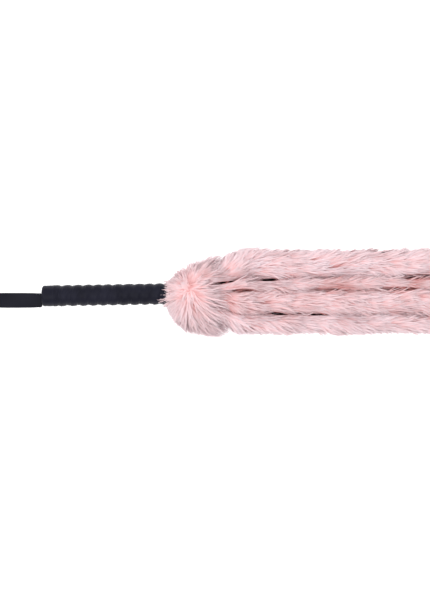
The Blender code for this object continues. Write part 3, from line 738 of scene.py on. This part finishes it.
def clearOfPartings(path, rng):
    # false for the locks that lie across a parting, apart from the share that is let through; its half
    # width is narrowed by (taper x nearness to an end)^bluntness and varied by a ripple
    shape = partingShape
    keep = np.ones(len(path), bool)
    x, y = path[:, 1:, 0], path[:, 1:, 1]
    for which, stretches in partings.items():
        away = np.abs(y - seamLine(which, x))
        for first, last, half, share in stretches:
            along = (x - first) / (last - first)
            ends = np.clip(shape["taper"] * np.minimum(along, 1 - along), 0, 1) ** shape["bluntness"]
            ends = ends * (shape["kept"] + shape["varies"] * ripple(x, 0 * x, shape["size"], which))
            across = (away < half * ends).any(1)
            keep &= ~across | (rng.random(len(path)) < share)
    return keep


def trimmed(path):
    # each lock that reaches over the outline is shortened towards its root: root + share (path - root)
    slack = outlineSlack * np.random.default_rng(len(path)).random(len(path)) ** 2
    root, tip = path[:, 0], path[:, -1]
    high = np.interp(tip[:, 0], furOutline[:, 0], furOutline[:, 1]) + slack
    low = np.interp(tip[:, 0], furOutline[:, 0], furOutline[:, 2]) - slack
    edge = np.where(tip[:, 1] > 0, high, low)
    over = np.abs(tip[:, 1]) > np.abs(edge)
    across = np.where(over, tip[:, 1] - root[:, 1], 1.0)
    share = np.clip((edge - root[:, 1]) / across, shortestLock, 1.0)
    share = np.where(over, share, 1.0)[:, None, None]
    return path[:, :1] + share * (path - path[:, :1])


def tailSurface(course, shape, x, a, upward):
    # arch over the backing: y = w cos^archWide, z = h sin^archTall for a from 0 to 1 across, turned down
    # for the lower tails
    middle = np.interp(x, course["x"], course["middle"])
    angle = math.pi * np.clip(a, tailFur["archEnd"], 1 - tailFur["archEnd"])
    half = np.interp(x, course["x"], course["half"]) * np.where(angle < math.pi / 2, *course["shares"])
    low = np.interp(x, course["x"], course["low"])
    high = np.interp(x, course["x"], course["high"])
    y = middle + half * flattened(np.cos(angle), tailFur["archWide"])
    rise = (high - low) * shape["skinTall"] * np.sin(angle) ** tailFur["archTall"]
    z = low + rise if upward else high - rise
    return np.stack(np.broadcast_arrays(x, y, z), -1)


def surfaceFrame(place, x, a):
    # point, directions along and across, and their cross product, by small steps over the surface
    step = 1e-4
    point = place(x, a)
    along = unit(place(x + step, a) - place(x - step, a))
    across = unit(place(x, a + step) - place(x, a - step))
    normal = unit(np.cross(along, across))
    return point, along, across, normal


lockShape = {
    "pullPower": 1.4,         # how late along a lock it is drawn to its tuft's middle
    "bodyAt": (0, 0.35, 0.75, 1), "body": (0.75, 1.0, 0.62, 0.0),     # its width from root to tip
    # the three corners of its section, across and up, in widths
    "section": ((0.5, -0.12), (-0.5, -0.12), (0.0, 0.34)),
    "toneSide": (-0.004, 0.004, 0.0),     # tone of each corner beside the lock's own
    "mapFrom": 0.02, "mapLong": 0.96,     # where on the map a lock starts, and its length there
    # spread of single locks: from and to, as shares of the usual, and standard deviations
    "length": (0.72, 1.12), "wide": (0.6, 1.15), "lift": (0.5, 1.5), "pull": (0.7, 1.2),
    "tone": 0.05, "toneLeast": 0.02, "toneMost": 0.98, "sway": 0.10,
    "droop": 0.62,            # how far a lock sinks back at its tip
}


def lockPaths(roots, flow, normal, target, size):
    # root + length (flow t + normal lift (t - droop t^2)), drawn towards its tuft's target with
    # t^pullPower, swayed with t^2, and kept inside the limits
    t = (np.arange(size["rings"] + 1) / size["rings"])[None, :, None]
    length, lift, pull = (size[key][:, None, None] for key in ("length", "lift", "pull"))
    rise = normal[:, None] * lift * (t - size["droop"] * t * t)
    path = roots[:, None] + length * (flow[:, None] * t + rise)
    path = path + pull * t ** lockShape["pullPower"] * (target[:, None] - roots[:, None])
    path = path + length * size["sway"][:, None] * (t ** 2)
    beyond = np.abs(path[..., 1]) - furLimits["side"]
    bentIn = np.sign(path[..., 1]) * (furLimits["side"] + furLimits["sideShare"] * beyond)
    path[..., 1] = np.where(beyond > 0, bentIn, path[..., 1])
    beyond = path[..., 2] - furLimits["top"]
    path[..., 2] = np.where(beyond > 0, furLimits["top"] + furLimits["topShare"] * beyond, path[..., 2])
    path[..., 2] = np.clip(path[..., 2], furLimits["floor"], size["ceiling"])
    return trimmed(path)


def lockMesh(name, roots, flow, normal, target, size, skin, partRng=None):
    # each lock runs along its path, three-sided, widest a third of the way up and closed to a point
    rings = size["rings"]
    path = lockPaths(roots, flow, normal, target, size)
    wide, lockTone = size["wide"][:, None, None], size["tone"]
    if partRng is not None:
        keep = clearOfPartings(path, partRng)
        path, normal, wide, lockTone = path[keep], normal[keep], wide[keep], lockTone[keep]
    count = len(path)
    t = np.arange(rings + 1) / rings
    going = unit(np.gradient(path, axis=1))
    side = unit(np.cross(going, normal[:, None]))
    up = np.cross(side, going)
    body = np.interp(t, lockShape["bodyAt"], lockShape["body"])[None, :, None] * wide
    # softly rounded shading, as of many fine hairs: up + softness normal, turned to the side at both edges,
    # and the same facing down on the underside
    soft = up + furLook["softness"] * normal[:, None]
    ringPoints, ringUpper, ringUnder = [], [], []
    for sideShare, upShare in lockShape["section"]:
        ringPoints.append(path + body * (sideShare * side + upShare * up))
        ringUpper.append(unit(soft + furLook["roundness"] * sideShare * side))
        ringUnder.append(unit(furLook["roundness"] * sideShare * side - up))

    def withTip(rows, tip):  # locks x rings x corners, and one more at the tip
        return np.concatenate([np.stack(rows, 2)[:, :-1].reshape(count, -1, 3), tip[:, -1:]], 1)

    points = withTip(ringPoints, path)
    points[..., 2] = np.maximum(points[..., 2], furLimits["lowest"])
    upper = withTip(ringUpper, unit(soft))
    under = withTip(ringUnder, -up)
    # faces of one lock: first the ring's three sides, the one between its lower corners facing down
    ring = gridQuads(rings, 3)
    tip = fanTriangles((rings - 1) * 3 + np.arange(3), rings * 3)
    ends = np.concatenate([[[2, 1, 0]], tip])
    ringUnderside = np.arange(len(ring)) % 3 == 0
    endUnderside = np.array([True, True, False, False])
    quadShade = np.where(ringUnderside[:, None, None], under[:, ring], upper[:, ring]).reshape(-1, 3)
    endShade = np.where(endUnderside[:, None, None], under[:, ends], upper[:, ends])
    endShade[:, 0] = 0.0
    endShade = endShade.reshape(-1, 3)
    base = np.arange(count)[:, None, None] * (rings * 3 + 1)
    quads = (ring[None] + base).reshape(-1, 4)
    triangles = (ends[None] + base).reshape(-1, 3)
    # map: tone across, root to tip up
    u = np.concatenate([np.tile(lockShape["toneSide"], rings), [0.0]])[None] + lockTone[:, None]
    v = np.concatenate([np.repeat(t[:-1], 3), [1.0]])[None] * lockShape["mapLong"] + lockShape["mapFrom"]
    uvPoint = np.stack([u, v + 0 * u], -1).reshape(-1, 2)
    points = points.reshape(-1, 3)
    skinPoints, skinQuads, skinTriangles, skinUv = skin
    quads = np.concatenate([quads, skinQuads + len(points)])
    triangles = np.concatenate([triangles, skinTriangles + len(points)])
    points = np.concatenate([points, skinPoints])
    shade = np.concatenate([quadShade, np.zeros((skinQuads.size, 3)),
                            endShade, np.zeros((skinTriangles.size, 3))])
    uvPoint = np.concatenate([uvPoint, skinUv])
    corners = np.concatenate([quads.ravel(), triangles.ravel()])
    return buildMesh(name, points, quads, triangles, uvPoint[corners], shade)


def lockSizes(rng, count, tufts, shape, tone):
    # per-lock sizes and tone: the tuft's own length and its tone, painted shade included, each varied lock by
    # lock
    spread = lockShape
    length = shape["length"] * tufts["length"][tufts["index"]] * rng.uniform(*spread["length"], count)
    wide = shape["wide"] * rng.uniform(*spread["wide"], count)
    lift = shape["lift"] * rng.uniform(*spread["lift"], count)
    pull = shape["pull"] * rng.uniform(*spread["pull"], count)
    tone = tone + spread["tone"] * rng.standard_normal(count)
    tone = np.clip(tone, spread["toneLeast"], spread["toneMost"])
    sway = spread["sway"] * rng.standard_normal((count, 3))
    return {"length": length, "wide": wide, "lift": lift, "pull": pull, "tone": tone, "sway": sway,
            "droop": spread["droop"], "rings": shape["rings"], "ceiling": shape.get("ceiling", 1.0)}


skinVaries = {"tone": 0.01, "along": 0.02, "beat": 1.7}


def skinMap(count, tone, along):
    # nearly one tone and one place along the locks' map, point by point: tone + sine, along + cosine
    step = np.arange(count)
    return np.stack([tone + skinVaries["tone"] * np.sin(step),
                     along + skinVaries["along"] * np.cos(step * skinVaries["beat"])], -1)


def skinMesh(place, xs, upward):
    # the skin the hair grows from: rows of an arch, closed along its base and at both ends
    across = np.linspace(0.0, 1.0, tailFur["skinColumns"])
    points, quads, triangles = closedTube(place(xs[:, None], across[None, :]))
    if not upward:
        quads, triangles = quads[:, ::-1], triangles[:, ::-1]
    return points, quads, triangles, skinMap(len(points), tailFur["skinTone"], tailFur["skinAlong"])


# painted shade in the deep rosy hollows of the pile: x, y, half length, half width, depth of the painted
# shade
shadedHollows = ((0.0060, -0.0070, 0.0060, 0.0030, 0.40), (0.0200, -0.0170, 0.0050, 0.0035, 0.40),
           (0.0350, 0.0010, 0.0110, 0.0040, 0.45), (0.1400, 0.0035, 0.0160, 0.0055, 0.35),
           (0.1810, 0.0005, 0.0120, 0.0035, 0.35), (0.2160, 0.0035, 0.0220, 0.0040, 0.40),
           (0.0680, 0.0030, 0.0110, 0.0025, 0.30), (0.0960, -0.0230, 0.0300, 0.0020, 0.25))


def hollowShade(points):
    # sum of depth exp(-((x - x0) / long)^2 - ((y - y0) / wide)^2)
    total = np.zeros(len(points))
    for x, y, long, wide, depth in shadedHollows:
        total += depth * np.exp(-((points[:, 0] - x) / long) ** 2 - ((points[:, 1] - y) / wide) ** 2)
    return total


def scatter(rng, count, reach):  # even random numbers from -reach to reach
    return rng.uniform(-reach, reach, count)


def makeTailFur(name, node, shape, upward, which):
    # tufts on a loose grid over the skin; each lock = its tuft's lean, length and tone, varied by its own
    both = tailFur
    seed = 100 * which + (0 if upward else 50)
    rng = np.random.default_rng(seed)
    course = tailCourse(node)
    shares = (shape["skinOuter"], *shape["skinWide"], shape["skinOuter"])
    course["shares"] = (shares[which], shares[which - 1])   # towards +Y, towards -Y

    def place(x, a):
        return tailSurface(course, shape, x, a, upward)

    start, stop = course["x"][0] + both["inset"], course["x"][-1] - both["inset"]
    full = course["half"].max() * sum(course["shares"]) / 2
    tall = (course["high"] - course["low"]).max() * shape["skinTall"]
    columns = max(int((2 * tall + both["bulge"] * full) / shape["tuft"]), 4)
    rows = int((stop - start) / shape["tuft"])
    r, c = np.meshgrid(np.arange(rows), np.arange(columns), indexing="ij")
    tuftX = start + (r.ravel() + 0.5 + scatter(rng, r.size, both["tuftJitter"])) / rows * (stop - start)
    tuftA = (c.ravel() + 0.5 + scatter(rng, c.size, both["tuftJitter"])) / columns
    tuftCount = len(tuftX)
    locks = int(shape["triangles"] / (6 * shape["rings"] - 2) / tuftCount)  # a lock has 6 rings - 2 triangles
    index = np.repeat(np.arange(tuftCount), locks)
    count = len(index)
    x = np.clip(tuftX[index] + scatter(rng, count, both["lockJitter"]) * shape["tuft"], start, stop)
    a = tuftA[index] + scatter(rng, count, both["lockJitter"]) / columns
    a = np.clip(a, both["edge"], 1 - both["edge"])
    roots, along, across, normal = surfaceFrame(place, x, a)
    normal = -normal if upward else normal
    middle = place(tuftX, tuftA)
    # the hair leans along the tail, outwards on its flanks, and wanders in slow waves
    wander = ripple(tuftX, tuftA * both["waveAcross"] + seed, shape["wave"], seed + 5)
    lean = shape["splay"] * (tuftA - 0.5) * 2 + shape["wander"] * wander
    lean = lean + both["tuftLean"] * rng.standard_normal(tuftCount)
    atRoot, further = shape["sweep"][which]
    lean = lean + further + (atRoot - further) * (1 - smooth((tuftX - start) / both["sweepLength"]))
    outside = tuftA if which == 1 else 1 - tuftA
    nearRoot = 1 - smooth((tuftX - start) / shape["flareLength"])
    lean = lean + shape["flare"].get(which, 0.0) * outside * nearRoot
    turn = lean[index] + both["lockLean"] * rng.standard_normal(count)
    flow = unit(along * np.cos(turn)[:, None] + across * np.sin(turn)[:, None] + normal * both["rise"])
    tufts = {"index": index, "length": rng.uniform(*both["tuftLength"], tuftCount)}
    tone = both["tone"] + both["toneSpread"] * rng.standard_normal(tuftCount)
    patches = ripple(tuftX, tuftA * both["waveAcross"], both["tonePatchSize"], seed + 9)
    tone = tone + both["tonePatch"] * patches
    toSeam = np.minimum(tuftA if which < 4 else 1.0, 1 - tuftA if which > 1 else 1.0)
    tone = tone + shape["tailTone"].get(which, 0.0)
    # painted shade in the crevice along each seam between tails
    tone = tone - shape["paintedSeamShade"] * np.exp(-(toSeam / both["seamShadeReach"]) ** 2)
    # painted shade of the deep hollows, on the top tails only
    if upward:
        tone = tone - hollowShade(middle)
    sizes = lockSizes(rng, count, tufts, shape, tone[index])
    skin = skinMesh(place, np.linspace(start, stop, both["skinRows"]), upward)
    return lockMesh(name, roots, flow, normal, middle[index], sizes, skin, rng if upward else None)


collarFur = {
    # skin, from the grip's side to the tails: place along, half width, how far it lies to -Y, rise, drop
    "places": (0.0, 0.08, 0.30, 0.60, 0.88, 1.0),
    "halfWidth": (0.0125, 0.0140, 0.0165, 0.0205, 0.0250, 0.0235),
    "aside": (0.0, 0.0, 0.0028, 0.0042, 0.0042, 0.0040),
    "rise": (0.0125, 0.0140, 0.0165, 0.0180, 0.0170, 0.0120),
    "drop": (0.0115, 0.0118, 0.0120, 0.0125, 0.0125, 0.0110),
    "first": 0.0065, "last": 0.0008,      # the skin's ends inside the CAD collar's
    # the skin reads the map near the roots, so it takes their dark colour, which is partly painted shade
    "skinRows": 24, "skinColumns": 48, "skinTone": 0.45, "skinAlong": 0.15,
    "lining": 0.9,            # size of the ends' inner rows beside the outer ones
    # where the hair parts, seen from above: its middle, how far it is drawn out across, and how softly
    "whorl": (-0.0220, 0.0015), "whorlAcross": 0.0170, "whorlLeast": 0.25, "whorlSoft": 0.0028,
    "whorlFlat": 0.0120,      # within which the hair lies lower and shorter, by these shares at its middle
    "whorlLift": 0.30, "whorlLength": 0.55,
    "forwardLean": 1.25, "leanFrom": 0.38, "leanLong": 0.45,  # of the hair beside the tails' roots
    "tufts": 570, "locks": 15, "length": 0.0265, "wide": 0.00125, "lift": 0.30, "pull": 0.50,
    # tufts step round in this many turns and along by the golden ratio, so that they fill the skin evenly
    "turns": 34, "golden": 0.61803398875, "alongEnd": 0.015, "aroundJitter": 0.02,
    "lockAlong": 0.09, "lockAround": 0.022, "edge": 0.01,     # scatter of locks about their tuft
    "wander": 0.13, "flowSpread": 0.07,   # standard deviations of the tufts' turn and of the locks' flow
    "sink": 0.25, "sinkDepth": 0.012,     # how far the hair below the middle runs down
    "hug": 0.7,               # share of a lock's rise off the skin that is taken away
    "rings": 4,
    "reach": (0.85, 1.12),    # spread of the tufts' length
    "backReach": (-0.15, 0.30),   # what is added to that spread for hair that points back
    "forward": 0.45,          # how much longer the hair is that points over the tails' roots
    "forwardTurn": 0.6, "forwardFrom": 0.55, "forwardLong": 0.3,  # how straight ahead it points, and where
    "backward": 0.60,         # how much shorter the hair is that points back over the grip
    "wisps": (-0.0165, -0.0050, 1.25),     # from y to y, this much longer, over the grip
    "wispBack": 0.6,          # how straight back it points at least
    "tone": 0.50, "toneSpread": 0.08, "toneBack": 0.06,
}


def makeCollarFur():
    # tube along X through the middle of its band, its half width, rise and drop read along it; the hair's
    # flow = away from the whorl + forward lean, turned by a wander and laid along the skin
    shape = collarFur
    rng = np.random.default_rng(71)
    low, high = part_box("collar_pile")
    bandLow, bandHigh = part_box("collar_band")
    centre = np.array([0.0, (bandLow[1] + bandHigh[1]) / 2, (bandLow[2] + bandHigh[2]) / 2])
    firstX, lastX = low[0] + shape["first"], high[0] - shape["last"]

    def read(key, along):
        return np.interp(along, shape["places"], shape[key])

    def place(along, around):
        angle = math.tau * around
        vertical = np.where(np.sin(angle) > 0, read("rise", along), read("drop", along))
        y = np.cos(angle) * read("halfWidth", along) - read("aside", along)
        z = np.sin(angle) * vertical
        x = firstX + (lastX - firstX) * along
        return centre + np.stack(np.broadcast_arrays(x, y, z), -1)

    # places of the tufts and of the locks round them
    count = shape["tufts"]
    k = np.arange(count)
    tuftAlong = np.mod(k * shape["golden"], 1.0) * (1 - 2 * shape["alongEnd"]) + shape["alongEnd"]
    tuftAround = (k + 0.5) / count * shape["turns"] + scatter(rng, count, shape["aroundJitter"])
    tuftAround = np.mod(tuftAround, 1.0)
    index = np.repeat(k, shape["locks"])
    total = len(index)
    alongPlace = tuftAlong[index] + scatter(rng, total, shape["lockAlong"])
    alongPlace = np.clip(alongPlace, shape["edge"], 1 - shape["edge"])
    aroundPlace = tuftAround[index] + scatter(rng, total, shape["lockAround"])
    roots, _, _, normal = surfaceFrame(place, alongPlace, aroundPlace)
    outward = unit(roots - centre - [(firstX + lastX) / 2, 0.0, 0.0])
    normal = np.where(np.einsum("ij,ij->i", normal, outward)[:, None] < 0, -normal, normal)
    middle = place(tuftAlong, tuftAround)

    # which way each tuft runs
    away = middle[:, :2] - shape["whorl"] + shape["whorlSoft"] * rng.standard_normal((count, 2))
    least = shape["whorlLeast"]
    away[:, 1] *= least + (1 - least) * smooth(np.abs(away[:, 1]) / shape["whorlAcross"])
    leaning = smooth((tuftAlong[:, None] - shape["leanFrom"]) / shape["leanLong"])
    away = unit(unit(away) + [1.0, 0.0] * (shape["forwardLean"] * leaning))
    turn = shape["wander"] * rng.standard_normal(count)
    below = np.clip((centre[2] - middle[:, 2]) / shape["sinkDepth"], 0, 1)
    swung = np.stack([away[:, 0] * np.cos(turn) - away[:, 1] * np.sin(turn),
                      away[:, 0] * np.sin(turn) + away[:, 1] * np.cos(turn), -shape["sink"] * below], -1)

    # how long it is
    back = np.clip(-swung[:, 0], 0, 1)
    wispLow, wispHigh, wispMore = shape["wisps"]
    isWisp = (middle[:, 1] > wispLow) & (middle[:, 1] < wispHigh) & (middle[:, 2] > centre[2])
    isWisp &= back > shape["wispBack"]
    shortest, longest = (usual + more * back for usual, more in zip(shape["reach"], shape["backReach"]))
    reach = rng.uniform(shortest, longest) * (1 - shape["backward"] * back)
    reach = reach * np.where(isWisp, wispMore, 1.0)
    forward = smooth(swung[:, 0] / shape["forwardTurn"])
    forward = forward * smooth((tuftAlong - shape["forwardFrom"]) / shape["forwardLong"])
    reach = reach * (1 + shape["forward"] * forward)

    swung = swung[index]
    rising = np.einsum("ij,ij->i", swung, normal)[:, None]
    flow = swung - shape["hug"] * rising * normal
    flow = unit(flow + shape["flowSpread"] * rng.standard_normal((total, 3)))
    tufts = {"index": index, "length": reach}
    tone = shape["tone"] + shape["toneSpread"] * rng.standard_normal(count) - shape["toneBack"] * back
    sizes = lockSizes(rng, total, tufts, shape, tone[index])
    outOfWhorl = smooth(np.linalg.norm(middle[:, :2] - shape["whorl"], axis=1) / shape["whorlFlat"])
    for key, least in (("lift", shape["whorlLift"]), ("length", shape["whorlLength"])):
        sizes[key] *= (least + (1 - least) * outOfWhorl)[index]

    # skin, and the same ends again further in, which close it to a ring
    rows = np.linspace(0.0, 1.0, shape["skinRows"])
    around = np.linspace(0.0, 1.0, shape["skinColumns"] + 1)[:-1]
    grid = place(rows[:, None], around[None, :])
    axis = centre * [0, 1, 1]
    grid = np.concatenate([grid, axis + (grid[[-1, 0]] - axis) * [1.0, shape["lining"], shape["lining"]]])
    quads = gridQuads(len(grid), shape["skinColumns"], wrapRows=True)
    flat = grid.reshape(-1, 3)
    skinUv = skinMap(len(flat), shape["skinTone"], shape["skinAlong"])
    skin = (flat, quads, np.zeros((0, 3), int), skinUv)
    return lockMesh("collarFur", roots, flow, normal, middle[index], sizes, skin, rng)


backingShape = {
    "columns": 9, "step": 0.003,
    "fray": 0.0004, "fraySize": 0.004,    # wander of the cut edges
    "wave": 0.00025, "waveSize": 0.03, "waveInside": 0.3, "waveMost": 0.00012,
    "thickShare": 0.42,       # half its thickness as a share of the CAD strip's
}


def makeBacking(name, node, seed):
    # flat strip between its CAD faces: edge = half width + fray, height = wave
    shape = backingShape
    course = tailCourse(node)
    x = np.arange(course["x"][0], course["x"][-1], shape["step"])
    x = np.append(x, course["x"][-1])
    share = np.linspace(-1, 1, shape["columns"])[None, :]
    half = np.interp(x, course["x"], course["half"])
    left, right = (half + shape["fray"] * ripple(x, 0 * x, shape["fraySize"], seed + k) for k in (0, 1))
    wide = np.where(share < 0, left[:, None], right[:, None])
    y = np.interp(x, course["x"], course["middle"])[:, None] + share * wide
    low = np.interp(x, course["x"], course["low"])[:, None]
    high = np.interp(x, course["x"], course["high"])[:, None]
    inside = shape["waveInside"]
    wave = shape["wave"] * ripple(x[:, None], y, shape["waveSize"], seed + 2)
    wave = np.clip(wave * (inside + (1 - inside) * np.abs(share)), -shape["waveMost"], shape["waveMost"])
    thick = (high - low) * shape["thickShare"]
    xx = x[:, None] + 0 * y
    under = np.stack([xx, y, (low + high) / 2 - thick + wave], -1)
    over = np.stack([xx, y, (low + high) / 2 + thick + wave], -1)
    piece = faceOut(buildMesh(name, *closedTube(np.concatenate([under, over[:, ::-1]], 1))))
    flat = (2 * float(half.max()), float(x[-1] - x[0]))
    return piece, flat


def giveMaterial(piece, material):  # its only one
    piece.data.materials.clear()
    piece.data.materials.append(material)


# making it all

makeStudio()
print("studio ready")

grain = makeGrainGroup()
knit = makeKnitGroup()
materials = {}
for name, look in finishes.items():
    materials[name] = surfaceMaterial(name, knit if "Thread Scale" in look["pattern"] else grain)
pinkFur = makeFurMaterial()
print("materials ready")

wrap = makeWrap()
giveMaterial(wrap, materials["wrapLeather"])
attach(wrap, "root")
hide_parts("grip_wrap")
cap = makeCap()
giveMaterial(cap, materials["capLeather"])
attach(cap, "root")
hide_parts("butt_cap")
print("grip ready")

strap = makeStrap()
giveMaterial(strap, materials["strapLeather"])
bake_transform(strap)
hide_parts("wrist_strap")
print("strap ready")

collar = makeCollarFur()
giveMaterial(collar, pinkFur)
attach(collar, "root")
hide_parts("collar_pile")
print("collar ready")

for row, shape, upward in (("top", topFur, True), ("bottom", bottomFur, False)):
    for i in range(1, 5):
        tail = f"{row}_tail_{i}"
        fur = makeTailFur(f"{row}Tail{i}Fur", f"{tail}_pile", shape, upward, i)
        giveMaterial(fur, pinkFur)
        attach(fur, tail)
        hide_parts(f"{tail}_pile")
        backing, flat = makeBacking(f"{row}Tail{i}Backing", f"{tail}_backing", 400 + 10 * i)
        giveMaterial(backing, materials["backingKnit"])
        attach(backing, tail)
        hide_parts(f"{tail}_backing")
    print(row, "tails ready")

insideLooks = {
    "handle_core": "turnedWood", "core_padding": "gripFoam", "strap_anchor": "strapLeather",
    "strap_pin": "drawnSteel", "wrap_tack": "drawnSteel", "binding_thread": "waxedThread",
    "collar_band": "backingKnit",
}
for i in range(1, 9):
    insideLooks[f"tail_tab_{i}"] = "backingKnit"
for node, look in insideLooks.items():
    giveMaterial(frame["nodes"][node], materials[look])
print("inner parts ready")
